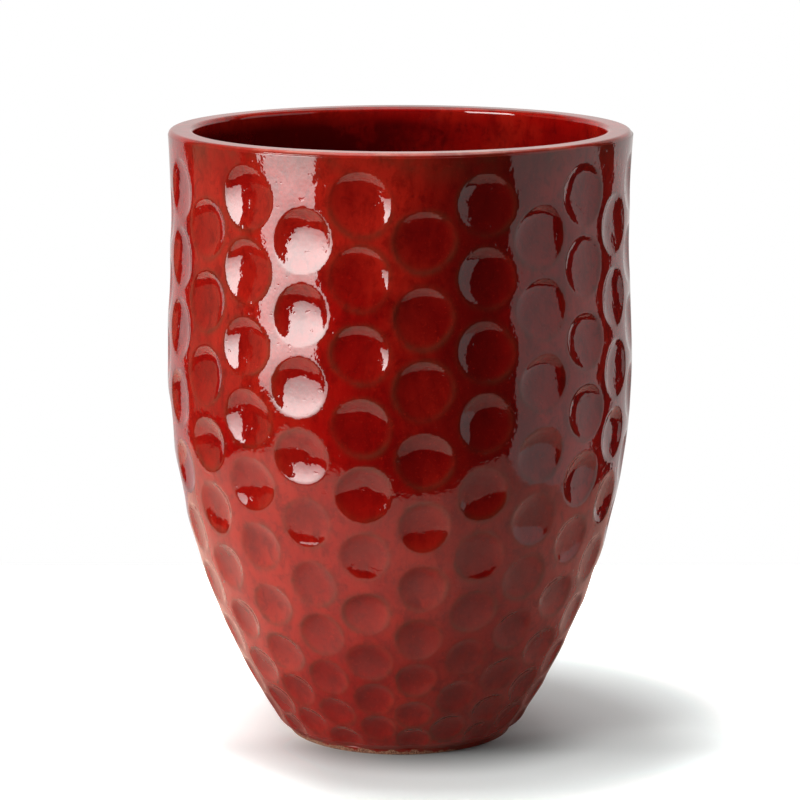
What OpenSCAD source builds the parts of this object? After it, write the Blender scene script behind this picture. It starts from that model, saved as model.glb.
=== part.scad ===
// Glazed stoneware floor pot with pressed dimples.
// Built as a potter builds it: a foot ring and a base slab, a wall in two thrown sections and a rim coil,
// joined with slip, with a rubber stopper in the drain hole.
// Millimetres, +Z up. The origin is on the floor, at the centre of the foot, and the front faces -Y.

/* [Outline] */
// Height from the floor to the top of the rim
pot_h = 550; // [500:5:600]
// Radius of the belly, the widest part of the wall
belly_r = 209; // [190:1:225]
// Height of the belly above the floor
belly_z = 345; // [320:5:370]
// Radius of the curve that runs from the belly down to the foot
belly_arc = 620; // [590:5:700]
// Rise above the belly where the outline turns from the belly's curve to the waist's
turn_rise = 38; // [20:1:50]
// Radius of the hollow curve of the waist under the rim
waist_arc = 1600; // [1200:50:2400]

/* [Clay] */
// Thickness of the thrown wall
wall_t = 22; // [16:0.5:26]
// Thickness of the base slab
floor_t = 20; // [14:0.5:26]
// Height of the joint between the lower and the upper section of the wall
seam_z = 275; // [240:5:330]

/* [Rim] */
// Height of the rim coil
rim_h = 15; // [13:0.5:17]
// Width of the flat-topped rim, outside to inside
rim_w = 22.6; // [18:0.2:28]
// Radius that rounds the rim's upper edges
rim_round = 6; // [3:0.5:6.5]

/* [Foot] */
// Height of the bare foot ring
foot_h = 6; // [5:0.5:8]
// Width that the wall's thick lower edge bears on the foot ring
wall_seat = 20; // [16:0.5:24]
// Width of the base slab that bears on the foot ring
slab_seat = 8; // [5:0.5:12]
// Height of the bevel that draws the wall in to the foot ring
foot_bevel_h = 6; // [4:0.5:7]
// Width of that bevel
foot_bevel_w = 4.5; // [3:0.5:5]
// Amount that the foot ring narrows from its top to the floor
foot_draw = 2.5; // [1:0.5:4]

/* [Dimples] */
// Columns of dimples round the pot, every second one set half a step lower
columns = 24; // [20:2:26]
// Dimples in each column
column_dimples = 10; // [8:1:11]
// Angle of the first column to the right of the front
first_column = -9.2; // [-15:0.1:15]
// Distance from the top of the rim down to the highest dimple's centre
top_dimple_drop = 44; // [42:0.5:50]
// Height of the lowest dimple's centre above the foot ring
low_dimple_rise = 11.5; // [11:0.5:16]
// How much closer together the dimples lie from the rim down to the belly
crowding = 0.2; // [0.1:0.01:0.22]
// How much closer together they lie from the belly down to the foot
foot_crowding = 0.37; // [0.3:0.01:0.38]
// Width of the highest dimples
top_dimple_d = 52; // [44:1:54]
// Width of the lowest dimples
low_dimple_d = 20; // [16:1:22]
// Slope of a dimple's bowl at its edge, in degrees
dimple_edge = 18; // [14:1:20]
// How far a dimple strays from its place, pressed by hand
dimple_stray = 1.2; // [0:0.1:1.5]

/* [Drain] */
// Radius of the drain hole
drain_r = 15; // [12:0.5:18]
// Gap all round the stopper's stem
stopper_gap = 0.3; // [0.2:0.1:0.6]
// Distance that the stopper's stem ends above the slab's underside
stem_short = 2; // [1:0.5:5]
// Width of the stopper's flange outside the drain hole
flange_w = 7; // [5:0.5:10]
// Thickness of the flange
flange_t = 4; // [3:0.5:6]
// Width of the pull tab
tab_w = 16; // [12:0.5:20]
// Thickness of the pull tab
tab_t = 4; // [3:0.5:6]
// Height of the pull tab above the flange
tab_h = 14; // [12:0.5:18]

/* [Hidden] */
$fn = 64;
ring_fn = 240;
arc_fn = 1440;
spare = 5;
// Radius of the cap that cuts a dimple, as a share of the dimple's width
cap_share = 0.58;

// Centres of the two arcs of the outline. They touch where the outline turns.
turn_a = asin(turn_rise / belly_arc);
belly_c = [belly_r - belly_arc, belly_z];
waist_c = belly_c + (belly_arc + waist_arc) * [cos(turn_a), sin(turn_a)];
turn_z = belly_z + turn_rise;

// Radius of the outline at height z, and the angle by which its surface leans up or down there
function outer_r(z) = z < turn_z
    ? belly_c.x + sqrt(pow(belly_arc, 2) - pow(z - belly_c.y, 2))
    : waist_c.x - sqrt(pow(waist_arc, 2) - pow(z - waist_c.y, 2));
function lean(z) = z < turn_z
    ? asin((z - belly_c.y) / belly_arc)
    : asin((waist_c.y - z) / waist_arc);

// Heights and radii that the pieces share
rim_z = pot_h - rim_h;
floor_z = foot_h + floor_t;
rim_r = outer_r(pot_h);
foot_r = outer_r(foot_h) - foot_bevel_w;
slab_r = foot_r - wall_seat;
foot_hole_r = slab_r - slab_seat;

// Rows of dimples: even rows lie in the even columns and odd rows in the odd ones
rows = 2 * column_dimples;
top_dimple_z = pot_h - top_dimple_drop;
low_dimple_z = foot_h + low_dimple_rise;
function down(row) = row / (rows - 1);
function row_z(row) = low_dimple_z + (top_dimple_z - low_dimple_z) * (1 - down(row))
    * (1 - crowding * down(row) - foot_crowding * pow(down(row), 2));
function row_d(row) = top_dimple_d - (top_dimple_d - low_dimple_d) * pow(down(row), 2);
// A steady scatter between -1 and 1 for the dimple in a row and column
function stray(row, column, turn) = sin(turn * (row + 1) + 97 * column + 40 * sin(61 * row * column));

// Region of the half section inside the outline, drawn in by inset
module outline_region(inset) {
    intersection() {
        translate(belly_c) circle(belly_arc - inset, $fn = arc_fn);
        square([2 * belly_r, turn_z]);
    }
    difference() {
        translate([0, turn_z]) square([belly_r, pot_h + spare - turn_z]);
        translate(waist_c) circle(waist_arc + inset, $fn = arc_fn);
    }
}

// Half section of the wall, with its thick lower edge bevelled to the foot and bored for the slab
module wall_section() {
    difference() {
        outline_region(0);
        difference() {
            outline_region(wall_t);
            square([2 * belly_r, floor_z]);
        }
        translate([0, -spare]) square([slab_r, floor_z + spare]);
        polygon([
            [foot_r, foot_h],
            [outer_r(foot_h + foot_bevel_h) + spare, foot_h + foot_bevel_h
                + spare * foot_bevel_h / (outer_r(foot_h + foot_bevel_h) - foot_r)],
            [outer_r(foot_h + foot_bevel_h) + spare, foot_h - spare],
            [foot_r, foot_h - spare]
        ]);
    }
}

// One length of the wall between two heights
module wall_length(z0, z1) {
    rotate_extrude($fn = ring_fn) intersection() {
        wall_section();
        translate([0, z0]) square([2 * belly_r, z1 - z0]);
    }
}

// Cap of the ball that presses a dimple of width d into the wall at height z, facing -Y
module dimple_cap(z, d) {
    ball_r = d / 2 / sin(dimple_edge);
    depth = pow(d / 2, 2) * (1 / ball_r + 0.5 / outer_r(z)) / 2;
    translate([0, -outer_r(z), z]) rotate([90 - lean(z), 0, 0]) intersection() {
        translate([0, 0, ball_r - depth]) sphere(ball_r);
        translate([0, 0, -2 * depth]) cylinder(h = 4 * depth, r = cap_share * d);
    }
}

// The dimples that reach into the wall between two heights
module dimples(z0, z1) {
    for (column = [0 : columns - 1], row = [column % 2 : 2 : rows - 1]) {
        z = row_z(row) + dimple_stray * stray(row, column, 137);
        d = row_d(row) + dimple_stray * stray(row, column, 53);
        side = dimple_stray * stray(row, column, 211) / outer_r(z) * 180 / PI;
        if (z + d > z0 && z - d < z1) {
            rotate(first_column + column * 360 / columns + side) dimple_cap(z, d);
        }
    }
}

module foot_ring() {
    color("burlywood") rotate_extrude($fn = ring_fn) polygon([
        [foot_hole_r, 0],
        [foot_r - foot_draw, 0],
        [foot_r, foot_h],
        [foot_hole_r, foot_h]
    ]);
}

module base_slab() {
    color("darkred") difference() {
        translate([0, 0, foot_h]) cylinder(h = floor_t, r = slab_r, $fn = ring_fn);
        translate([0, 0, foot_h - spare]) cylinder(h = floor_t + 2 * spare, r = drain_r);
    }
}

module lower_wall() {
    color("firebrick") difference() {
        wall_length(foot_h, seam_z);
        dimples(foot_h, seam_z);
    }
}

module upper_wall() {
    color("darkred") difference() {
        wall_length(seam_z, rim_z);
        dimples(seam_z, rim_z);
    }
}

module rim_ring() {
    color("maroon") rotate_extrude($fn = ring_fn) translate([rim_r - rim_w, rim_z]) {
        square([rim_w, rim_h - rim_round]);
        translate([rim_round, 0]) square([rim_w - 2 * rim_round, rim_h]);
        for (x = [rim_round, rim_w - rim_round]) {
            translate([x, rim_h - rim_round]) circle(rim_round);
        }
    }
}

module drain_stopper() {
    flange_top = floor_z + flange_t;
    color("dimgray") {
        translate([0, 0, foot_h + stem_short]) {
            cylinder(h = floor_t - stem_short, r = drain_r - stopper_gap);
        }
        translate([0, 0, floor_z]) cylinder(h = flange_t, r = drain_r + flange_w);
        translate([0, 0, flange_top + tab_h - tab_w / 2]) rotate([90, 0, 0]) {
            cylinder(h = tab_t, d = tab_w, center = true);
        }
        translate([-tab_w / 2, -tab_t / 2, floor_z + flange_t / 2]) {
            cube([tab_w, tab_t, flange_t / 2 + tab_h - tab_w / 2]);
        }
    }
}

foot_ring();
base_slab();
lower_wall();
upper_wall();
rim_ring();
drain_stopper();
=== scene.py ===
"""Glazed floor pot with pressed dimples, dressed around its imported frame.

Sizes are in metres in the part's own frame: +Z up, the foot on the floor at the origin, and the
front facing -Y.
"""

import math

import bmesh
import bpy
import numpy as np
from bpy.props import FloatProperty, FloatVectorProperty, IntProperty, PointerProperty
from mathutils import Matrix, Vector


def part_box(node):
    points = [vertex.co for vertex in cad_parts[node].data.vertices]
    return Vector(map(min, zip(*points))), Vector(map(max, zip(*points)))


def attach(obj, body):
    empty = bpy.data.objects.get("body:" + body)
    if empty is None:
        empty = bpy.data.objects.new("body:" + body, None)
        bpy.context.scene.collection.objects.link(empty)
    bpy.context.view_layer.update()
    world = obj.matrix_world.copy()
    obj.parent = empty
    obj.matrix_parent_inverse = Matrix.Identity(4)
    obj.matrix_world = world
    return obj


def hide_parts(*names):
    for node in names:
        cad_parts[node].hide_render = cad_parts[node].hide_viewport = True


bl_info = {
    "name": "Dimpled Floor Pot",
    "version": (1, 0, 0),
    "blender": (4, 5, 0),
    "location": "View3D > Sidebar > Pot",
    "description": "Builds a glazed stoneware floor pot, piece by piece, and its photo stage",
    "category": "Add Mesh",
}

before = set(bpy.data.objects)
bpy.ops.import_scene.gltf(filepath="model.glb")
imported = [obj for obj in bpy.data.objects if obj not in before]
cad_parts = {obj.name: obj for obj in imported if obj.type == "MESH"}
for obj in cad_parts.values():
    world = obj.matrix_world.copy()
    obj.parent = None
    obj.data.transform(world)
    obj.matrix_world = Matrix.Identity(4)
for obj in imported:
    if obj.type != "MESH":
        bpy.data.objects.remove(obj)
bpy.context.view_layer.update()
RIM_LOW, RIM_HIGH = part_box("rim_ring")
FOOT_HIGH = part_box("foot_ring")[1]
SLAB_LOW, SLAB_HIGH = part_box("base_slab")
SEAM_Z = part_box("upper_wall")[0].z
STOPPER_LOW, STOPPER_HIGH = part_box("drain_stopper")
FULL_TURN = 2 * math.pi

# Sizes that the boxes of the frame don't give. The draw is how much the foot narrows to the floor.
FOOT_HOLE_RADIUS = 0.0756
FOOT_DRAW = 0.0025
DRAIN_RADIUS = 0.015
STEM_GAP = 0.0003
FLANGE_HEIGHT = 0.004
TAB_WIDTH = 0.016
TAB_THICKNESS = 0.004

# Fineness of the spun meshes: points round the wall, sectors that they are spun in, and row heights
WALL_COLUMNS = 600
SECTORS = 24
ROW_STEP = 0.0023
INNER_ROW_STEP = 0.010
TINY = 1e-5

# How far a dimple moves the clay from its centre, and the half width of the band on its edge where the
# glaze breaks, both in radii of the dimple
DIMPLE_REACH = 2.5
EDGE_BAND = 0.11

# How strongly the glaze breaks to brown on a dimple's edge and under the rim, and how far below the
# rim's top and above the foot it does so
DIMPLE_BREAK = 0.55
UNDER_RIM_BREAK = 0.5
UNDER_RIM_DROP = 0.030
RIM_DROP = 0.009
FOOT_RISE = 0.005

# What the walls, the slab and the foot store at their points for the glaze: how much it is pooled, with
# painted shade on the dimples' upper left, how thin it breaks, and how far in the point lies, from 0
# outside to 1 inside
GLAZE_POOL_AND_SHADE, GLAZE_BREAK, GLAZE_INSIDE = "glaze_pool_and_shade", "glaze_break", "glaze_inside"


# Settings that a user would change

class PotOutline(bpy.types.PropertyGroup):
    belly_radius: FloatProperty(
        name="Belly radius", description="Radius of the widest part of the wall",
        default=0.209, unit="LENGTH")
    belly_height: FloatProperty(
        name="Belly height", description="Height of the widest part above the floor",
        default=0.345, unit="LENGTH")
    belly_arc: FloatProperty(
        name="Belly curve", description="Radius of the curve from the belly down to the foot",
        default=0.620, unit="LENGTH")
    turn_rise: FloatProperty(
        name="Turn height", description="Rise above the belly where the outline starts to hollow",
        default=0.038, unit="LENGTH")
    waist_arc: FloatProperty(
        name="Waist curve", description="Radius of the hollow curve under the rim",
        default=1.6, unit="LENGTH")
    wall: FloatProperty(
        name="Wall", description="Thickness of the thrown wall", default=0.022, unit="LENGTH")
    outer_round: FloatProperty(
        name="Outer rim edge", description="Radius of the rim's outer edge",
        default=0.0042, unit="LENGTH")
    inner_round: FloatProperty(
        name="Inner rim edge", description="Radius of the rim's inner edge",
        default=0.0045, unit="LENGTH")
    foot_round: FloatProperty(
        name="Foot edge", description="Radius that draws the wall in to the foot",
        default=0.008, unit="LENGTH")
    floor_round: FloatProperty(
        name="Inner cove", description="Radius of the cove where the wall meets the inside floor",
        default=0.009, unit="LENGTH")


class DimpleSettings(bpy.types.PropertyGroup):
    columns: IntProperty(
        name="Columns", description="Columns of dimples round the pot", default=24)
    per_column: IntProperty(
        name="Per column", description="Dimples in each column", default=10)
    first_angle: FloatProperty(
        name="First column", description="Angle of the first column to the right of the front",
        default=math.radians(-9.2), subtype="ANGLE")
    top_drop: FloatProperty(
        name="Top drop", description="Drop from the rim's top to the highest dimple's centre",
        default=0.044, unit="LENGTH")
    low_rise: FloatProperty(
        name="Low rise", description="Height of the lowest dimple's centre above the foot ring",
        default=0.0115, unit="LENGTH")
    crowding: FloatProperty(
        name="Crowding", description="How much closer the rows lie from the rim to the belly",
        default=0.2, subtype="FACTOR", min=0, max=1)
    foot_crowding: FloatProperty(
        name="Foot crowding", description="How much closer the rows lie from the belly to the foot",
        default=0.37, subtype="FACTOR", min=0, max=1)
    top_width: FloatProperty(
        name="Top width", description="Width of the highest dimples", default=0.054, unit="LENGTH")
    low_width: FloatProperty(
        name="Low width", description="Width of the lowest dimples", default=0.029, unit="LENGTH")
    depth_share: FloatProperty(
        name="Depth", description="Depth of a dimple as a share of its width",
        default=0.1, subtype="FACTOR", min=0, max=1)
    dish: FloatProperty(
        name="Dish", description="2 makes round bowls, and more makes flatter floors", default=3.0)
    heel: FloatProperty(
        name="Heel", description="How much deeper a dimple is pressed at its top than at its middle",
        default=0.28, subtype="FACTOR", min=0, max=1)
    stray: FloatProperty(
        name="Stray", description="How far a dimple strays from its place, pressed by hand",
        default=0.0012, unit="LENGTH")
    top_lip: FloatProperty(
        name="Top edges", description="Softness of the highest dimples' edges, as a share of a radius",
        default=0.13, subtype="FACTOR", min=0, max=1)
    low_lip: FloatProperty(
        name="Low edges", description="Softness of the lowest dimples' edges, as a share of a radius",
        default=0.38, subtype="FACTOR", min=0, max=1)
    shoulder: FloatProperty(
        name="Shoulder", description="Share of the depth that sinks gently all round a dimple",
        default=0.25, subtype="FACTOR", min=0, max=1)
    ridge: FloatProperty(
        name="Ridge", description="How far the clay between the dimples swells out",
        default=0.0008, unit="LENGTH")


class GlazeColours(bpy.types.PropertyGroup):
    red: FloatVectorProperty(
        name="Red", description="The glaze where it lies thick", subtype="COLOR",
        default=(0.24, 0.0024, 0.0015))
    scarlet: FloatVectorProperty(
        name="Scarlet", description="The glaze where it lies thin", subtype="COLOR",
        default=(0.30, 0.0095, 0.0045))
    maroon: FloatVectorProperty(
        name="Maroon", description="The darkest clouds in the glaze", subtype="COLOR",
        default=(0.11, 0.0012, 0.0010))
    # Painted shade: colour of the band of painted shade right of the front
    side_shade_wine: FloatVectorProperty(
        name="Wine", description="The glaze that lay away from the flame", subtype="COLOR",
        default=(0.085, 0.0003, 0.0003))
    brown: FloatVectorProperty(
        name="Brown", description="Glaze that breaks thin over an edge", subtype="COLOR",
        default=(0.080, 0.019, 0.0085))
    # Painted sheen: pale colour painted on the front of the rim's top, standing in for a reflection
    rim_sheen: FloatVectorProperty(
        name="Blush", description="Pale glaze, worn thin on the front of the rim", subtype="COLOR",
        default=(0.44, 0.16, 0.12))
    # Painted shade: colour of the painted shade inside the pot
    inside_shade_colour: FloatVectorProperty(
        name="Deep", description="The glaze on the inside, where it lies thickest", subtype="COLOR",
        default=(0.058, 0.0008, 0.0014))
    clay: FloatVectorProperty(
        name="Clay", description="Bare fired clay of the foot", subtype="COLOR",
        default=(0.46, 0.26, 0.16))
    rubber: FloatVectorProperty(
        name="Rubber", description="Rubber of the stopper", subtype="COLOR",
        default=(0.022, 0.022, 0.024))


class StageSettings(bpy.types.PropertyGroup):
    camera_distance: FloatProperty(
        name="Camera distance", description="From the pot's axis to the camera, along the floor",
        default=3.006, unit="LENGTH")
    camera_height: FloatProperty(
        name="Camera height", description="Height of the camera above the floor",
        default=0.871, unit="LENGTH")
    camera_pitch: FloatProperty(
        name="Camera pitch", description="How far the camera looks down",
        default=math.radians(10.7), subtype="ANGLE")
    lens: FloatProperty(
        name="Lens", description="Focal length of the camera on a sensor 36 mm wide",
        default=152.2, unit="CAMERA")


# Outline of the pot, as a half section

def outline():
    return bpy.context.scene.pot_outline


def arc_centres():
    """Centres of the belly's arc and of the waist's arc, which touch where the outline turns."""
    o = outline()
    belly = Vector((o.belly_radius - o.belly_arc, o.belly_height))
    turn = math.asin(o.turn_rise / o.belly_arc)
    waist = belly + (o.belly_arc + o.waist_arc) * Vector((math.cos(turn), math.sin(turn)))
    return belly, waist


def wall_radius(z, inset=0.0):
    """Radius of the wall's surface at height z, drawn in by inset."""
    o = outline()
    belly, waist = arc_centres()
    rise = np.minimum(z - belly.y, o.turn_rise)
    low = belly.x + np.sqrt((o.belly_arc - inset) ** 2 - rise ** 2)
    high = waist.x - np.sqrt((o.waist_arc + inset) ** 2 - (z - waist.y) ** 2)
    return np.where(z < belly.y + o.turn_rise, low, high)


def wall_lean(z):
    """Angle by which the wall's outer surface faces up, or down where it is negative."""
    o = outline()
    belly, waist = arc_centres()
    low = np.arcsin((np.minimum(z, belly.y + o.turn_rise) - belly.y) / o.belly_arc)
    return np.where(z < belly.y + o.turn_rise, low, np.arcsin((waist.y - z) / o.waist_arc))


def steps(start, end, count):
    """Evenly spaced values from start up to, and without, end."""
    return [start + (end - start) * i / count for i in range(count)]


def steps_between(start, end, count):
    """Points between two points of the half section, ends left out."""
    return [
        tuple(start[k] + (end[k] - start[k]) * i / count for k in (0, 1)) for i in range(1, count)]


# Dimples

def dimple_rows():
    return 2 * bpy.context.scene.pot_dimples.per_column


def stray(row, column, turn):
    """A steady scatter between -1 and 1 for the dimple in a row and column."""
    wobble = 40 * math.sin(math.radians(61 * row * column))
    return math.sin(math.radians(turn * (row + 1) + 97 * column + wobble))


def dimple_places():
    """Height, angle, width, depth and edge softness of each dimple."""
    d = bpy.context.scene.pot_dimples
    top_z = RIM_HIGH.z - d.top_drop
    low_z = FOOT_HIGH.z + d.low_rise
    places = []
    for column in range(d.columns):
        for row in range(column % 2, dimple_rows(), 2):
            down = row / (dimple_rows() - 1)
            closer = d.crowding * down + d.foot_crowding * down ** 2
            z = low_z + (top_z - low_z) * (1 - down) * (1 - closer)
            z += d.stray * stray(row, column, 137)
            width = d.top_width - (d.top_width - d.low_width) * down ** 1.5
            width += d.stray * stray(row, column, 53)
            side = d.stray * stray(row, column, 211) / wall_radius(z)
            angle = d.first_angle + column * FULL_TURN / d.columns + side
            lip = d.top_lip + (d.low_lip - d.top_lip) * down
            depth = width * d.depth_share * (1 + 0.08 * stray(row, column, 89))
            places.append((z, angle, width, depth, lip))
    return places


def edge_blend(value, softness):
    """Rises from 0 where value is under -softness to value itself where it is over softness."""
    blend = (value + softness) ** 2 / (4 * softness)
    return np.where(value > softness, value, np.where(value < -softness, 0, blend))


def pressed(angle, z):
    """Depth that the dimples press the wall at each point, as metres and as a share of the dimple's depth
    with painted shade on its upper left, and a value that is 1 on a dimple's edge."""
    d = bpy.context.scene.pot_dimples
    depth = np.zeros_like(z)
    pool_and_shade = np.zeros_like(z)
    edge = np.zeros_like(z)
    for place_z, place_angle, width, deepest, lip in dimple_places():
        radius = width / 2
        turn = (angle - place_angle + math.pi) % FULL_TURN - math.pi
        side = turn * wall_radius(place_z)
        up = (z - place_z) / np.cos(wall_lean(place_z))
        near = (np.abs(side) < DIMPLE_REACH * radius) & (np.abs(up) < DIMPLE_REACH * radius)
        side, up = side[near], up[near]
        # The edge is a little out of round, differently on each dimple
        bearing = np.arctan2(up, side)
        uneven = 0.025 * np.sin(2 * bearing + 900 * place_z)
        uneven += 0.015 * np.sin(3 * bearing + 7 * place_angle)
        reach = np.hypot(side, up) / (radius * (1 + uneven))
        bowl = edge_blend(1 - reach ** d.dish, lip)
        sink = (1 - d.shoulder) * bowl + d.shoulder * np.exp(-1.1 * reach ** 2)
        depth[near] += deepest * sink * (1 + d.heel * np.clip(up / radius, -1, 1))
        # Glaze lies thickest in the low dimples, with painted shade on the upper left of each
        low = np.clip((RIM_HIGH.z - place_z) / RIM_HIGH.z, 0, 1)
        painted_shade_tilt = 0.7 + 0.35 * np.clip(up / radius, -1, 1) - 0.28 * np.clip(side / radius, -1, 1)
        pool_and_shade[near] += bowl * (0.45 + 0.55 * low) * painted_shade_tilt
        edge[near] += np.exp(-((reach - 1) / EDGE_BAND) ** 2)
    return depth, pool_and_shade, edge


def unevenness(angle, z):
    """Slow swell and hollow of a wall that was thrown by hand."""
    return (
        0.00035 * np.sin(3 * angle + 9 * z + 0.6)
        + 0.00025 * np.sin(5 * angle - 21 * z + 2.1)
        + 0.00012 * np.sin(11 * angle + 47 * z)
        + 0.00010 * np.sin(88 * z + 2 * np.sin(2 * angle))
    )


def foot_tuck(z):
    """How far the wall draws in just above the foot ring."""
    o = outline()
    rise = np.clip((z - FOOT_HIGH.z) / o.foot_round, 0, 1)
    return (wall_radius(FOOT_HIGH.z) - FOOT_HIGH.x) * (1 - rise) ** 2


def wall_points(angle, z):
    """Places on the finished outer surface, with the glaze's pool and edge values there."""
    depth, pool_and_shade, edge = pressed(angle, z)
    inward = depth + unevenness(angle, z) - bpy.context.scene.pot_dimples.ridge
    lean = wall_lean(z)
    radius = wall_radius(z) - foot_tuck(z) - inward * np.cos(lean)
    place = np.stack([radius * np.sin(angle), -radius * np.cos(angle), z - inward * np.sin(lean)], -1)
    return place, pool_and_shade, edge


def wall_normals(angle, z):
    """Directions that the finished outer surface faces, from points a little way round and up."""
    turn, rise = 0.0012, 0.0003
    across = wall_points(angle + turn, z)[0] - wall_points(angle - turn, z)[0]
    along = wall_points(angle, z + rise)[0] - wall_points(angle, z - rise)[0]
    normal = np.cross(across, along)
    return normal / np.linalg.norm(normal, axis=-1, keepdims=True)


def inner_normals(angle, z):
    """Directions that the plain inner surface faces."""
    lean = wall_lean(z)
    return -np.stack([np.cos(lean) * np.sin(angle), -np.cos(lean) * np.cos(angle), np.sin(lean)], -1)


# Meshes

def spun_mesh(name, profile, columns, closed=True):
    """Spins a half section, a list of points (radius, height), into a sector and repeats it."""
    bm = bmesh.new()
    verts = [bm.verts.new((0, -radius, z)) for radius, z in profile]
    pairs = list(zip(verts, verts[1:]))
    if closed:
        pairs.append((verts[-1], verts[0]))
    edges = [bm.edges.new(pair) for pair in pairs]
    sector = FULL_TURN / SECTORS
    bmesh.ops.spin(
        bm, geom=verts + edges, cent=(0, 0, 0), axis=(0, 0, 1), angle=sector,
        steps=columns // SECTORS, use_merge=False, use_duplicate=False)
    bmesh.ops.spin(
        bm, geom=[*bm.verts, *bm.edges, *bm.faces], cent=(0, 0, 0), axis=(0, 0, 1),
        angle=FULL_TURN - sector, steps=SECTORS - 1, use_merge=False, use_duplicate=True)
    bmesh.ops.remove_doubles(bm, verts=bm.verts, dist=TINY)
    bmesh.ops.recalc_face_normals(bm, faces=bm.faces)
    mesh = bpy.data.meshes.new(name)
    bm.to_mesh(mesh)
    bm.free()
    mesh.shade_smooth()
    return mesh


def vertex_places(mesh):
    """Where the mesh's points lie, one row of three numbers each."""
    places = np.empty(3 * len(mesh.vertices))
    mesh.vertices.foreach_get("co", places)
    return places.reshape(-1, 3)


def add_attribute(mesh, name, values):
    """Stores one number at each point of a mesh."""
    layer = mesh.attributes.new(name, "FLOAT", "POINT")
    layer.data.foreach_set("value", np.asarray(values, np.float32))


def even_glaze(mesh, pool_and_shade, edge, inside):
    """Stores the same glaze values at every point of a mesh."""
    for name, value in ((GLAZE_POOL_AND_SHADE, pool_and_shade), (GLAZE_BREAK, edge), (GLAZE_INSIDE, inside)):
        add_attribute(mesh, name, np.full(len(mesh.vertices), value))


def add_object(name, data):
    """Puts a mesh or a camera in the scene."""
    added = bpy.data.objects.new(name, data)
    bpy.context.scene.collection.objects.link(added)
    return added


def add_piece(name, mesh, body, nodes, materials):
    """Puts a finished mesh in the scene as a piece that stands for CAD nodes."""
    piece = add_object(name, mesh)
    for material in materials:
        mesh.materials.append(material)
    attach(piece, body)
    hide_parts(*nodes)
    return piece


def edge_break(radius, z):
    """How thin the glaze breaks on the rim, under it and just above the foot."""
    under_rim = UNDER_RIM_BREAK * np.clip((z - RIM_HIGH.z + UNDER_RIM_DROP) / 0.025, 0, 1)
    rim = np.maximum(under_rim, np.clip((z - RIM_HIGH.z + RIM_DROP) / 0.005, 0, 1))
    rim *= radius > wall_radius(z) - outline().wall + 0.0005
    foot = np.clip((FOOT_HIGH.z + FOOT_RISE - z) / FOOT_RISE, 0, 1) * (radius > FOOT_HIGH.x - 0.002)
    return np.maximum(rim, foot)


def dress_wall(mesh, top):
    """Presses the dimples into a spun wall up to height top and stores its glaze values."""
    o = outline()
    places = vertex_places(mesh)
    angle = np.arctan2(places[:, 0], -places[:, 1])
    radius = np.hypot(places[:, 0], places[:, 1])
    z = places[:, 2].copy()
    middle = wall_radius(z) - o.wall / 2
    outer = (radius > middle) & (z < top)
    inner = (radius < middle) & (z > SLAB_HIGH.z + o.floor_round - TINY)
    inner &= z < RIM_HIGH.z - o.inner_round + TINY
    pools_and_shade, edges, normals = np.zeros(len(z)), np.zeros(len(z)), np.zeros_like(places)
    places[outer], pools_and_shade[outer], edges[outer] = wall_points(angle[outer], z[outer])
    normals[outer] = wall_normals(angle[outer], z[outer])
    normals[inner] = inner_normals(angle[inner], z[inner])
    mesh.vertices.foreach_set("co", places.ravel())
    mesh.update()
    mesh.normals_split_custom_set_from_vertices(normals.tolist())
    add_attribute(mesh, GLAZE_POOL_AND_SHADE, pools_and_shade)
    add_attribute(mesh, GLAZE_BREAK, np.maximum(DIMPLE_BREAK * edges, edge_break(radius, z)))
    depth_in = wall_radius(z) - radius
    add_attribute(mesh, GLAZE_INSIDE, np.clip(depth_in / o.wall * 3 - 2, 0, 1))


def wall_rows(low, high):
    """Heights from low to high, spaced evenly along the outline."""
    count = max(2, round((high - low) / ROW_STEP))
    return [*steps(low, high, count), high]


def outer_profile(low, high):
    """Points up the outside of the wall, before the dimples are pressed."""
    return [(float(wall_radius(z) - foot_tuck(z)), z) for z in wall_rows(low, high)]


def inner_profile(high, low):
    """Points down the inside of the wall."""
    count = max(2, round((high - low) / INNER_ROW_STEP))
    return [(float(wall_radius(z, outline().wall)), z) for z in [*steps(high, low, count), low]]


def arc_profile(centre, radius, start, end, count):
    """Points along an arc of the half section, from one angle to another, ends included."""
    return [
        (centre[0] + radius * math.cos(a), centre[1] + radius * math.sin(a))
        for a in [*steps(start, end, count), end]
    ]


def curve_profile(start, corner, end, count):
    """Points along a curve that leaves start towards corner and comes in to end, ends left out."""
    points = []
    for i in range(1, count):
        t = i / count
        points.append(tuple(
            (1 - t) ** 2 * start[k] + 2 * t * (1 - t) * corner[k] + t * t * end[k] for k in (0, 1)))
    return points


# Materials

def add_node(tree, kind, inputs=None, **settings):
    """Adds a node, sets its properties, and fills or links its inputs."""
    node = tree.nodes.new(kind)
    for name, value in settings.items():
        setattr(node, name, value)
    for name, value in (inputs or {}).items():
        if isinstance(value, bpy.types.NodeSocket):
            tree.links.new(value, node.inputs[name])
        else:
            node.inputs[name].default_value = value
    return node


def blank_material(name):
    """A new material, its node tree, and the socket that takes its surface."""
    material = bpy.data.materials.new(name)
    material.use_nodes = True
    tree = material.node_tree
    tree.nodes.clear()
    return material, tree, add_node(tree, "ShaderNodeOutputMaterial").inputs["Surface"]


def new_material(name):
    """A new material, its node tree, and the Principled shader that makes its surface."""
    material, tree, surface = blank_material(name)
    shader = add_node(tree, "ShaderNodeBsdfPrincipled")
    tree.links.new(shader.outputs["BSDF"], surface)
    return material, tree, shader


def pattern_space(tree, scale=(1, 1, 1)):
    """Object coordinates, stretched by scale."""
    place = add_node(tree, "ShaderNodeTexCoord").outputs["Object"]
    mapping = add_node(tree, "ShaderNodeMapping", {"Vector": place, "Scale": scale})
    return mapping.outputs["Vector"]


def split_place(tree):
    """The X, Y and Z of the object coordinates."""
    return add_node(tree, "ShaderNodeSeparateXYZ", {"Vector": pattern_space(tree)}).outputs


def attribute(tree, name):
    """A value that the mesh stores at its points."""
    return add_node(tree, "ShaderNodeAttribute", attribute_name=name).outputs["Fac"]


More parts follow.
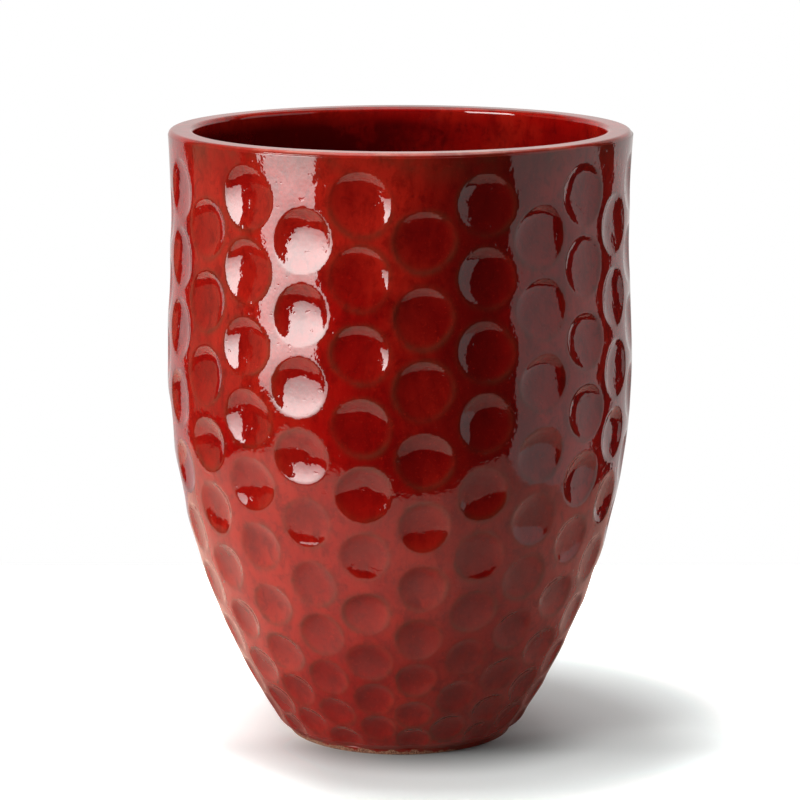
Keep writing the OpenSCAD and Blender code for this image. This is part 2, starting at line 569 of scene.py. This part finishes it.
def noise_value(tree, space, scale, detail=3.0, roughness=0.5, distortion=0.0):
    """Cloudy noise between 0 and 1, with scale repeats in a metre."""
    return add_node(tree, "ShaderNodeTexNoise", {
        "Vector": space, "Scale": scale, "Detail": detail, "Roughness": roughness,
        "Distortion": distortion}).outputs["Fac"]


def ramp(tree, value, low, high, to_low=0.0, to_high=1.0):
    """Carries value from the span low to high smoothly onto the span to_low to to_high."""
    node = add_node(
        tree, "ShaderNodeMapRange",
        {"Value": value, "From Min": low, "From Max": high, "To Min": to_low, "To Max": to_high},
        interpolation_type="SMOOTHSTEP")
    return node.outputs["Result"]


def maths(tree, operation, a, b):
    """One step of arithmetic on two values, each a socket or a number."""
    node = add_node(tree, "ShaderNodeMath", operation=operation)
    for socket, value in zip(node.inputs, (a, b)):
        if isinstance(value, bpy.types.NodeSocket):
            tree.links.new(value, socket)
        else:
            socket.default_value = value
    return node.outputs["Value"]


def mix_colour(tree, factor, a, b):
    """The colour that lies between a and b by factor."""
    node = add_node(tree, "ShaderNodeMix", data_type="RGBA")
    for name, value in (("Factor", factor), ("A", a), ("B", b)):
        socket = [s for s in node.inputs if s.name == name and s.enabled][0]
        if isinstance(value, bpy.types.NodeSocket):
            tree.links.new(value, socket)
        else:
            socket.default_value = value
    return [s for s in node.outputs if s.enabled][0]


def opaque(colour):
    """A colour with the fourth value that its socket asks for."""
    return (*colour, 1.0)


def painted_side_shade(tree, place, clouds, inside):
    """Painted shade on the outside, in a band right of the front where the light falls off, less of it low
    down and none inside.
    """
    across = maths(tree, "ADD", place["X"], ramp(tree, clouds, 0.3, 0.7, 0.03, -0.03))
    shaded = maths(
        tree, "MULTIPLY", ramp(tree, across, -0.04, 0.04), ramp(tree, across, 0.08, 0.13, 0.75, 0))
    shaded = maths(tree, "MULTIPLY", shaded, ramp(tree, place["Z"], 0.18, 0.32, 0.45, 1.0))
    return maths(tree, "MULTIPLY", shaded, maths(tree, "SUBTRACT", 1.0, inside))


def painted_inside_shade(tree, place, patches, mottle, inside):
    """Painted shade inside the pot, in patches: darker to the left, lighter to the right, and fading out
    at the rim.
    """
    uneven = maths(
        tree, "ADD", maths(tree, "MULTIPLY", patches, 0.6), maths(tree, "MULTIPLY", mottle, 0.4))
    uneven = maths(tree, "ADD", uneven, ramp(tree, place["X"], -0.12, 0.10, -0.14, 0.10))
    inside_shade_amount = maths(tree, "MULTIPLY", inside, ramp(tree, uneven, 0.40, 0.64, 1.0, 0.25))
    top = ramp(tree, place["Z"], RIM_HIGH.z - 0.020, RIM_HIGH.z - 0.002, 1.0, 0.0)
    return maths(tree, "MULTIPLY", inside_shade_amount, top)


def glaze_colour(tree):
    """Deep red glaze with upright streaks, clouds and flecks: painted shade in a band right of the front,
    on the dimples' upper left and inside, darker where glaze gathers in the dimples, brown where it breaks
    over an edge, and a painted pale sheen on the rim's front."""
    c = bpy.context.scene.pot_colours
    pool_and_shade, edge = attribute(tree, GLAZE_POOL_AND_SHADE), attribute(tree, GLAZE_BREAK)
    inside, place = attribute(tree, GLAZE_INSIDE), split_place(tree)
    clouds = noise_value(tree, pattern_space(tree, (1, 1, 0.6)), 13, 5, 0.6, 0.4)
    streaks = noise_value(tree, pattern_space(tree, (1, 1, 0.45)), 55, 5, 0.65, 0.3)
    flecks = noise_value(tree, pattern_space(tree), 420, 3, 0.6)
    # Thin glaze in cloudy patches, less of it where glaze gathers, which also holds painted shade
    thinness = maths(
        tree, "MULTIPLY", ramp(tree, clouds, 0.36, 0.62), ramp(tree, pool_and_shade, 0, 1, 1.0, 0.2))
    thin = mix_colour(tree, thinness, opaque(c.red), opaque(c.scarlet))
    dark = maths(tree, "MULTIPLY", ramp(tree, streaks, 0.48, 0.74), 0.6)
    body = mix_colour(tree, dark, thin, opaque(c.maroon))
    brush = noise_value(tree, pattern_space(tree, (1, 1, 0.28)), 300, 3, 0.6)
    body = mix_colour(tree, ramp(tree, brush, 0.48, 0.72, 0, 0.2), body, opaque(c.maroon))
    mottle = noise_value(tree, pattern_space(tree, (1, 1, 0.8)), 95, 4, 0.7, 0.5)
    body = mix_colour(tree, ramp(tree, mottle, 0.46, 0.70, 0, 0.6), body, opaque(c.maroon))
    # Painted shade in a band right of the front
    body = mix_colour(tree, painted_side_shade(tree, place, clouds, inside), body, opaque(c.side_shade_wine))
    patches = noise_value(tree, pattern_space(tree), 24, 4, 0.65)
    # Darker where glaze gathers in the dimples, with painted shade on their upper left
    pooled_and_shaded = maths(tree, "MULTIPLY", pool_and_shade, ramp(tree, patches, 0.32, 0.60, 1.1, 0.5))
    body = mix_colour(tree, pooled_and_shaded, body, opaque(c.maroon))
    body = mix_colour(tree, ramp(tree, flecks, 0.58, 0.76, 0, 0.6), body, opaque(c.scarlet))
    # Painted shade inside the pot
    inside_shade_amount = painted_inside_shade(tree, place, patches, mottle, inside)
    body = mix_colour(tree, inside_shade_amount, body, opaque(c.inside_shade_colour))
    bare = maths(
        tree, "MULTIPLY", maths(tree, "MINIMUM", edge, 0.5), ramp(tree, patches, 0.42, 0.62, 0.4, 1.1))
    # Painted pale sheen on the front of the rim's top, over the brown break
    on_top = ramp(tree, place["Z"], RIM_HIGH.z - 0.0025, RIM_HIGH.z - 0.0005)
    painted_sheen = maths(tree, "MULTIPLY", on_top, ramp(tree, place["Y"], -0.19, -0.10, 1, 0))
    return mix_colour(tree, bare, body, mix_colour(tree, painted_sheen, opaque(c.brown), opaque(c.rim_sheen)))


def glaze_bump(tree):
    """Fine orange peel over slower pulls in the glaze, with a few pinholes."""
    pulls = noise_value(tree, pattern_space(tree, (1, 1, 0.7)), 62, 2, 0.5)
    peel = noise_value(tree, pattern_space(tree), 260, 1, 0.4)
    spread = noise_value(tree, pattern_space(tree, (1, 1, 1.5)), 115, 2, 0.5)
    dents = ramp(tree, spread, 0.65, 0.77, 0, -7.0)
    spots = add_node(tree, "ShaderNodeTexVoronoi", {
        "Vector": pattern_space(tree), "Scale": 60.0, "Randomness": 1.0}).outputs["Distance"]
    holes = ramp(tree, spots, 0.03, 0.10, -6.0, 0.0)
    height = maths(
        tree, "ADD", maths(tree, "MULTIPLY", pulls, 17.0), maths(tree, "MULTIPLY", peel, 4.5))
    height = maths(tree, "ADD", height, maths(tree, "ADD", holes, dents))
    edge, inside = attribute(tree, GLAZE_BREAK), attribute(tree, GLAZE_INSIDE)
    calm = maths(
        tree, "MAXIMUM", ramp(tree, edge, 0.6, 1.0, 0, 0.8), maths(tree, "MULTIPLY", inside, 0.9))
    return add_node(tree, "ShaderNodeBump", {
        "Height": height, "Strength": maths(tree, "SUBTRACT", 1.0, calm),
        "Distance": 0.00002}).outputs["Normal"]


def glaze_material():
    """Glossy glaze, a little duller where it breaks thin and dry just above the foot."""
    material, tree, shader = new_material("oxblood_glaze")
    tree.links.new(glaze_colour(tree), shader.inputs["Base Color"])
    tree.links.new(glaze_bump(tree), shader.inputs["Normal"])
    shiny = ramp(tree, attribute(tree, GLAZE_BREAK), 0.6, 1.0, 0.035, 0.1)
    dry = ramp(tree, split_place(tree)["Z"], FOOT_HIGH.z + 0.003, FOOT_HIGH.z + 0.008, 0.5, 0.0)
    rough = maths(tree, "MAXIMUM", shiny, dry)
    tree.links.new(rough, shader.inputs["Roughness"])
    shader.inputs["IOR"].default_value = 1.55
    return material


def clay_material():
    """Bare fired clay, gritty and a little toasted."""
    c = bpy.context.scene.pot_colours
    material, tree, shader = new_material("bare_clay")
    toast = noise_value(tree, pattern_space(tree), 45, 5, 0.6)
    grit = noise_value(tree, pattern_space(tree), 900, 3, 0.7)
    toasted = tuple(0.45 * x for x in c.clay)
    colour = mix_colour(tree, ramp(tree, toast, 0.38, 0.66), opaque(c.clay), opaque(toasted))
    colour = mix_colour(tree, ramp(tree, grit, 0.62, 0.74, 0, 0.6), colour, opaque(c.brown))
    tree.links.new(colour, shader.inputs["Base Color"])
    rough = add_node(tree, "ShaderNodeBump", {"Height": grit, "Strength": 0.6, "Distance": 0.0004})
    tree.links.new(rough.outputs["Normal"], shader.inputs["Normal"])
    shader.inputs["Roughness"].default_value = 0.85
    return material


def foot_material():
    """Bare clay with a ragged hem of glaze that ran down from the wall."""
    c = bpy.context.scene.pot_colours
    material, tree, shader = new_material("foot_clay")
    place = split_place(tree)
    hem = noise_value(tree, pattern_space(tree, (1, 1, 0.4)), 70, 6, 0.75)
    line = maths(
        tree, "ADD", ramp(tree, hem, 0.3, 0.7, 0.0015, 0.0065),
        ramp(tree, place["X"], 0, 0.07, 0, -0.006))
    glazed = ramp(tree, maths(tree, "SUBTRACT", place["Z"], line), -0.0008, 0.0012)
    grit = noise_value(tree, pattern_space(tree), 900, 3, 0.7)
    clay = mix_colour(tree, ramp(tree, grit, 0.35, 0.6), opaque(c.clay), opaque(c.brown))
    tree.links.new(mix_colour(tree, glazed, clay, glaze_colour(tree)), shader.inputs["Base Color"])
    tree.links.new(ramp(tree, glazed, 0, 1, 0.85, 0.08), shader.inputs["Roughness"])
    tree.links.new(glaze_bump(tree), shader.inputs["Normal"])
    return material


def rubber_material():
    """Matte moulded rubber with a faint bloom."""
    c = bpy.context.scene.pot_colours
    material, tree, shader = new_material("stopper_rubber")
    bloom = noise_value(tree, pattern_space(tree), 120, 4, 0.6)
    grain = noise_value(tree, pattern_space(tree), 1500, 2, 0.6)
    paler = tuple(2.2 * x for x in c.rubber)
    tree.links.new(
        mix_colour(tree, ramp(tree, bloom, 0.45, 0.75), opaque(c.rubber), opaque(paler)),
        shader.inputs["Base Color"])
    skin = add_node(tree, "ShaderNodeBump", {"Height": grain, "Strength": 0.4, "Distance": 0.0001})
    tree.links.new(skin.outputs["Normal"], shader.inputs["Normal"])
    tree.links.new(ramp(tree, bloom, 0.3, 0.7, 0.5, 0.65), shader.inputs["Roughness"])
    return material


def shared(name, build):
    """The material of that name, built the first time that it is asked for."""
    return bpy.data.materials.get(name) or build()


# Pieces, one operator each

class POT_OT_lower_wall(bpy.types.Operator):
    """Thrown lower wall: dimpled outside, plain inside, with a thick lower edge round the slab"""
    bl_idname = "pot.lower_wall"
    bl_label = "Lower Wall"

    def execute(self, context):
        o = outline()
        floor_z, cove = SLAB_HIGH.z, o.floor_round
        inner = inner_profile(SEAM_Z, floor_z + cove)
        corner = (float(wall_radius(floor_z, o.wall)), floor_z)
        ledge = (corner[0] - cove, floor_z)
        profile = [
            *outer_profile(FOOT_HIGH.z, SEAM_Z), *inner,
            *curve_profile(inner[-1], corner, ledge, 6), ledge,
            (SLAB_HIGH.x, floor_z), (SLAB_HIGH.x, FOOT_HIGH.z)]
        mesh = spun_mesh("glazed_lower_wall", profile, WALL_COLUMNS)
        dress_wall(mesh, SEAM_Z + TINY)
        glaze = shared("oxblood_glaze", glaze_material)
        add_piece("glazed_lower_wall", mesh, "pot", ["lower_wall"], [glaze])
        return {"FINISHED"}


class POT_OT_upper_wall(bpy.types.Operator):
    """Thrown upper wall: dimpled outside, plain inside"""
    bl_idname = "pot.upper_wall"
    bl_label = "Upper Wall"

    def execute(self, context):
        profile = [*outer_profile(SEAM_Z, RIM_LOW.z), *inner_profile(RIM_LOW.z, SEAM_Z)]
        mesh = spun_mesh("glazed_upper_wall", profile, WALL_COLUMNS)
        dress_wall(mesh, RIM_LOW.z + TINY)
        glaze = shared("oxblood_glaze", glaze_material)
        add_piece("glazed_upper_wall", mesh, "pot", ["upper_wall"], [glaze])
        return {"FINISHED"}


class POT_OT_rim(bpy.types.Operator):
    """Thick flat-topped rim coil with softly rounded edges"""
    bl_idname = "pot.rim"
    bl_label = "Rim"

    def execute(self, context):
        o = outline()
        top = RIM_HIGH.z
        shoulder, lip = top - o.outer_round, top - o.inner_round
        inside = float(wall_radius(RIM_LOW.z, o.wall))
        outer_centre = (float(wall_radius(shoulder)) - o.outer_round, shoulder)
        inner_centre = (inside + o.inner_round, lip)
        flat = [
            (outer_centre[0] + (inner_centre[0] - outer_centre[0]) * t, top) for t in (0.2, 0.4, 0.6, 0.8)]
        profile = [
            *outer_profile(RIM_LOW.z, shoulder),
            *arc_profile(outer_centre, o.outer_round, 0, math.pi / 2, 10)[1:], *flat,
            *arc_profile(inner_centre, o.inner_round, math.pi / 2, math.pi, 8),
            (inside, (lip + RIM_LOW.z) / 2), (inside, RIM_LOW.z)]
        mesh = spun_mesh("glazed_rim", profile, WALL_COLUMNS)
        dress_wall(mesh, shoulder + TINY)
        glaze = shared("oxblood_glaze", glaze_material)
        add_piece("glazed_rim", mesh, "pot", ["rim_ring"], [glaze])
        return {"FINISHED"}


class POT_OT_base_slab(bpy.types.Operator):
    """Round floor of the pot, glazed on top and bare below, with a drain hole"""
    bl_idname = "pot.base_slab"
    bl_label = "Base Slab"

    def execute(self, context):
        top, under, out = SLAB_HIGH.z, SLAB_LOW.z, SLAB_HIGH.x
        bore, ease = DRAIN_RADIUS, 0.0015
        rings = [(r, top) for r in steps(bore + 2 * ease, out, 12)]
        profile = [
            (bore, under + ease), *steps_between((bore, under + ease), (bore, top - 2 * ease), 4),
            *arc_profile((bore + 2 * ease, top - 2 * ease), 2 * ease, math.pi, math.pi / 2, 6),
            *rings[1:], (out, top), (out, under), (bore + ease, under)]
        mesh = spun_mesh("base_floor", profile, WALL_COLUMNS)
        even_glaze(mesh, pool_and_shade=0.5, edge=0.0, inside=1.0)
        for face in mesh.polygons:
            face.material_index = int(face.center.z < under + 2 * ease)
        materials = [shared("oxblood_glaze", glaze_material), shared("bare_clay", clay_material)]
        add_piece("base_floor", mesh, "pot", ["base_slab"], materials)
        return {"FINISHED"}


class POT_OT_foot(bpy.types.Operator):
    """Bare clay foot ring with eased edges and a ragged hem of glaze"""
    bl_idname = "pot.foot"
    bl_label = "Foot Ring"

    def execute(self, context):
        hole, ease = FOOT_HOLE_RADIUS, 0.0009
        out, high, sole = FOOT_HIGH.x, FOOT_HIGH.z, FOOT_HIGH.x - FOOT_DRAW
        profile = [
            (hole, ease), (hole + ease, 0), *steps_between((hole + ease, 0), (sole - ease, 0), 4),
            (sole - ease, 0), (sole - 0.3 * ease, 0.3 * ease), (sole, ease),
            *steps_between((sole, ease), (out, high), 4), (out, high), (hole, high)]
        mesh = spun_mesh("bare_foot", profile, 240)
        even_glaze(mesh, pool_and_shade=0.0, edge=0.9, inside=0.0)
        add_piece("bare_foot", mesh, "pot", ["foot_ring"], [foot_material()])
        return {"FINISHED"}


class POT_OT_stopper(bpy.types.Operator):
    """Rubber stopper: a stem in the drain hole, a flange on the floor and a pull tab"""
    bl_idname = "pot.stopper"
    bl_label = "Drain Stopper"

    def execute(self, context):
        stem, flange, ease = DRAIN_RADIUS - STEM_GAP, STOPPER_HIGH.x, 0.0008
        low, seat = STOPPER_LOW.z, SLAB_HIGH.z
        top, crown = seat + FLANGE_HEIGHT, 0.0003
        profile = [
            (0, low), (stem - 2 * ease, low), (stem, low + 2 * ease), (stem, seat - ease), (stem, seat),
            (flange - ease, seat), (flange, seat + ease),
            *arc_profile((flange - 2 * ease, top - 2 * ease), 2 * ease, 0, math.pi / 2, 5),
            (flange * 0.6, top + crown), (0, top + crown)]
        mesh = spun_mesh("rubber_stopper", profile, 96, closed=False)
        self.add_tab(mesh, top)
        rubber = rubber_material()
        add_piece("rubber_stopper", mesh, "stopper", ["drain_stopper"], [rubber])
        return {"FINISHED"}

    def add_tab(self, mesh, top):
        """Adds the pull tab, a fin with a round head, eased all round."""
        half, root = TAB_WIDTH / 2, top - 0.001
        bm = bmesh.new()
        head = arc_profile((0, STOPPER_HIGH.z - half), half, 0, math.pi, 16)
        side = [*head, (-half, root), (half, root)]
        face = bm.faces.new([bm.verts.new((x, -TAB_THICKNESS / 2, z)) for x, z in side])
        grown = bmesh.ops.extrude_face_region(bm, geom=[face])["geom"]
        back = [part for part in grown if isinstance(part, bmesh.types.BMVert)]
        bmesh.ops.translate(bm, verts=back, vec=(0, TAB_THICKNESS, 0))
        bmesh.ops.recalc_face_normals(bm, faces=bm.faces)
        rims = [e for e in bm.edges if e.calc_face_angle(0) > math.radians(60)]
        bmesh.ops.bevel(
            bm, geom=rims, affect="EDGES", offset=0.0009, segments=3, profile=0.5, material=-1)
        bm.from_mesh(mesh)
        bm.to_mesh(mesh)
        bm.free()
        mesh.shade_smooth()


# Stage

def flat_mesh(name, size, centre=(0, 0)):
    """A flat four-cornered sheet."""
    bm = bmesh.new()
    bmesh.ops.create_grid(bm, x_segments=1, y_segments=1, size=0.5)
    bmesh.ops.scale(bm, vec=(*size, 1), verts=bm.verts)
    bmesh.ops.translate(bm, vec=(*centre, 0), verts=bm.verts)
    mesh = bpy.data.meshes.new(name)
    bm.to_mesh(mesh)
    bm.free()
    return mesh


def emission_material(name, colour, low, high, start=0.0, end=1.0):
    """Light whose strength goes from low to high between two heights of a panel, from its centre."""
    material, tree, surface = blank_material(name)
    place = add_node(tree, "ShaderNodeTexCoord").outputs["Object"]
    height = add_node(tree, "ShaderNodeSeparateXYZ", {"Vector": place}).outputs["Y"]
    strength = ramp(tree, height, start, end, low, high)
    light = add_node(tree, "ShaderNodeEmission", {"Color": opaque(colour), "Strength": strength})
    tree.links.new(light.outputs["Emission"], surface)
    return material


def painted_floor_shadow(tree, place):
    """Painted shadow on the floor, darkest by the foot and on the right where the pot's shadow falls, with
    painted light on the left.
    """
    apart = add_node(tree, "ShaderNodeVectorMath", {
        0: pattern_space(tree), 1: (0.03, 0, 0)}, operation="DISTANCE").outputs["Value"]
    front = maths(
        tree, "ADD", ramp(tree, apart, 0.095, 0.175, 0.3, 0.67), ramp(tree, apart, 0.22, 0.38, 0, 0.5))
    front = maths(tree, "MULTIPLY", front, ramp(tree, place["Y"], -0.19, -0.07, 1.25, 1.0))
    rear = ramp(tree, apart, 0.24, 0.36, 0.82, 1.4)
    behind = ramp(tree, place["Y"], -0.09, -0.01)
    level = maths(
        tree, "ADD", maths(tree, "MULTIPLY", front, maths(tree, "SUBTRACT", 1.0, behind)),
        maths(tree, "MULTIPLY", rear, behind))
    # Painted light on the left
    return maths(tree, "MULTIPLY", level, ramp(tree, place["X"], -0.17, -0.04, 0.88, 0.5))


def paper_material():
    """White paper to the camera, with a painted shadow, and a duller, warmer one to the light that bounces
    from it, with painted warm light on its left and painted shade on its right.
    """
    painted_lit_left, painted_shade_right = (0.70, 0.54, 0.45, 1), (0.42, 0.29, 0.25, 1)
    black, bright = (0, 0, 0, 1), (2.25, 2.39, 2.41, 1)
    material, tree, surface = blank_material("paper")
    seen = add_node(tree, "ShaderNodeLightPath").outputs["Is Camera Ray"]
    place = split_place(tree)
    # Painted light on the left and painted shade on the right, in the light that bounces from the floor
    bounced = mix_colour(tree, ramp(tree, place["X"], -0.3, 0.35), painted_lit_left, painted_shade_right)
    white_paper = mix_colour(tree, painted_floor_shadow(tree, place), black, bright)
    shade = mix_colour(tree, seen, bounced, white_paper)
    paper = add_node(tree, "ShaderNodeBsdfDiffuse", {"Color": shade})
    tree.links.new(paper.outputs["BSDF"], surface)
    return material


def light_panel(name, centre, aim, size, material):
    """A flat panel that lights the pot and mirrors in its glaze, but isn't seen by the camera."""
    mesh = flat_mesh(name, size)
    mesh.materials.append(material)
    panel = add_object(name, mesh)
    panel.location = centre
    panel.rotation_euler = (Vector(aim) - Vector(centre)).to_track_quat("Z", "Y").to_euler()
    panel.visible_camera = False
    return panel


def around(azimuth, distance, z):
    """A place round the pot: azimuth 0 is in front of it and turns to its right."""
    a = math.radians(azimuth)
    return (distance * math.sin(a), -distance * math.cos(a), z)


class POT_OT_stage(bpy.types.Operator):
    """Camera, pale floor, softboxes and a white world, as the pot was photographed"""
    bl_idname = "pot.stage"
    bl_label = "Stage"

    def execute(self, context):
        self.make_camera(context)
        self.make_floor()
        self.make_panels()
        self.make_world(context)
        context.scene.view_settings.view_transform = "Standard"
        return {"FINISHED"}

    def make_camera(self, context):
        """The camera stands in front of the pot and looks down at it."""
        s = context.scene.pot_stage
        data = bpy.data.cameras.new("camera")
        data.lens, data.sensor_width = s.lens, 36
        camera = add_object("camera", data)
        camera.location = (0, -s.camera_distance, s.camera_height)
        camera.rotation_euler = (math.pi / 2 - s.camera_pitch, 0, 0)
        context.scene.camera = camera

    def make_floor(self):
        """A sheet of paper under the pot, too pale at its edges to tell from the world."""
        left, right, near, far = -0.92, 0.72, -0.68, 0.62
        centre = ((left + right) / 2, (near + far) / 2)
        mesh = flat_mesh("paper_floor", (right - left, far - near), centre)
        mesh.materials.append(paper_material())
        add_object("paper_floor", mesh)

    def make_panels(self):
        """A bright softbox on the left and one overhead, with dimmer panels that fill the other sides."""
        white, warm = (1.0, 0.98, 0.96), (1.0, 0.87, 0.58)
        light_panel(
            "key_softbox", around(-55.6, 2.48, 0.84), (0, 0, 0.84), (1.36, 2.02),
            emission_material("key_light", white, 4.0, 13.0, -1.1, 0.0))
        light_panel(
            "right_reflector", around(81, 1.6, 0.6), (0, 0, 0.6), (1.65, 2.1),
            emission_material("reflector_light", white, 0.72, 0.72))
        light_panel(
            "backdrop", (0.04, 0.62, 0.55), (0.04, 0, 0.55), (1.92, 1.1),
            emission_material("backdrop_light", white, 0.74, 0.45, 0.18, 0.4))
        light_panel(
            "left_wall", around(-100, 2.0, 0.75), (0, 0, 0.75), (1.4, 1.8),
            emission_material("left_light", warm, 0.3, 0.3))
        overhead = light_panel(
            "overhead_softbox", (-0.22, 0.10, 2.6), (-0.22, 0.10, 0), (0.7, 0.7),
            emission_material("overhead_light", white, 38.0, 38.0))
        overhead.visible_glossy = False
        light_panel(
            "ceiling", (0, 0.3, 2.75), (0, 0.3, 0), (2.1, 3.15),
            emission_material("ceiling_light", white, 1.6, 1.6))
        fill = light_panel(
            "right_fill", around(118, 1.8, 0.8), (0, 0, 0.4), (1.2, 1.4),
            emission_material("fill_light", white, 2.0, 2.0))
        fill.visible_glossy = False

    def make_world(self, context):
        """White to the camera, and nearly dark to the pot."""
        world = bpy.data.worlds.new("studio")
        context.scene.world = world
        world.use_nodes = True
        tree = world.node_tree
        tree.nodes.clear()
        seen = add_node(tree, "ShaderNodeLightPath").outputs["Is Camera Ray"]
        strength = ramp(tree, seen, 0, 1, 0.02, 1.0)
        light = add_node(tree, "ShaderNodeBackground", {"Color": (1, 1, 1, 1), "Strength": strength})
        output = add_node(tree, "ShaderNodeOutputWorld")
        tree.links.new(light.outputs["Background"], output.inputs["Surface"])


class POT_PT_panel(bpy.types.Panel):
    """Lists the pot's pieces and its stage"""
    bl_idname = "POT_PT_panel"
    bl_label = "Dimpled Floor Pot"
    bl_space_type = "VIEW_3D"
    bl_region_type = "UI"
    bl_category = "Pot"

    def draw(self, context):
        for operator in OPERATORS:
            self.layout.operator(operator.bl_idname)


GROUPS = {
    "pot_outline": PotOutline,
    "pot_dimples": DimpleSettings,
    "pot_colours": GlazeColours,
    "pot_stage": StageSettings,
}
OPERATORS = [
    POT_OT_stage, POT_OT_foot, POT_OT_base_slab, POT_OT_lower_wall, POT_OT_upper_wall, POT_OT_rim,
    POT_OT_stopper]


def register():
    for cls in (*GROUPS.values(), *OPERATORS, POT_PT_panel):
        bpy.utils.register_class(cls)
    for name, group in GROUPS.items():
        setattr(bpy.types.Scene, name, PointerProperty(type=group))


def unregister():
    for name in GROUPS:
        delattr(bpy.types.Scene, name)
    for cls in reversed((*GROUPS.values(), *OPERATORS, POT_PT_panel)):
        bpy.utils.unregister_class(cls)


def main():
    register()
    for operator in OPERATORS:
        group, name = operator.bl_idname.split(".")
        getattr(getattr(bpy.ops, group), name)()


if __name__ == "__main__":
    main()
